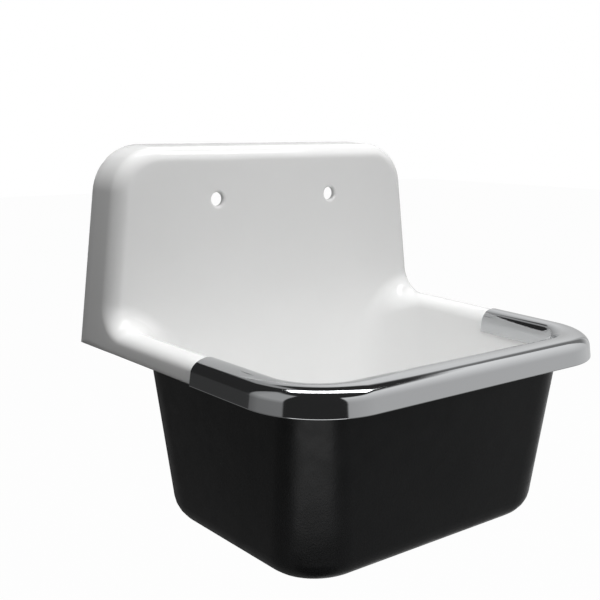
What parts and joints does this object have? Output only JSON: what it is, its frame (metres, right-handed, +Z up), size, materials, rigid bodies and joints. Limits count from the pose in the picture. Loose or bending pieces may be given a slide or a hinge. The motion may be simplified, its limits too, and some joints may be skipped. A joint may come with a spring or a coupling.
{
  "type": "mop service sink",
  "caption": "Wall-hung mop service sink: enamelled cast iron bowl with a high back, faucet holes, a stainless rim guard, a wall hanger and a grid drain.",
  "frame": {"origin": "middle of the two hanger bolt holes, on the plane of the wall", "axes": "X along the wall to the right as seen from the room, +Y into the wall, +Z up"},
  "size_m": [0.577, 0.4979, 0.571],
  "materials": {
    "enamelled_iron": "white glossy enamel inside and on the rim and back, black satin paint under the bowl",
    "polished_stainless": "polished sheet",
    "plated_steel": "zinc plated",
    "bright_drain_metal": "chromium plated brass",
    "black_rubber": "matte",
    "nut_brass": "plain machined and cast brass"
  },
  "bodies": {
    "root": {"basin": "enamelled_iron", "rim_guard": "polished_stainless", "wall_hanger": "plated_steel", "drain_body": "bright_drain_metal", "drain_grid": "bright_drain_metal", "grid_screw": "bright_drain_metal", "flange_seal": "black_rubber", "boss_seal": "black_rubber", "friction_washer": "nut_brass", "drain_locknut": "nut_brass"}
  },
  "joints": []
}
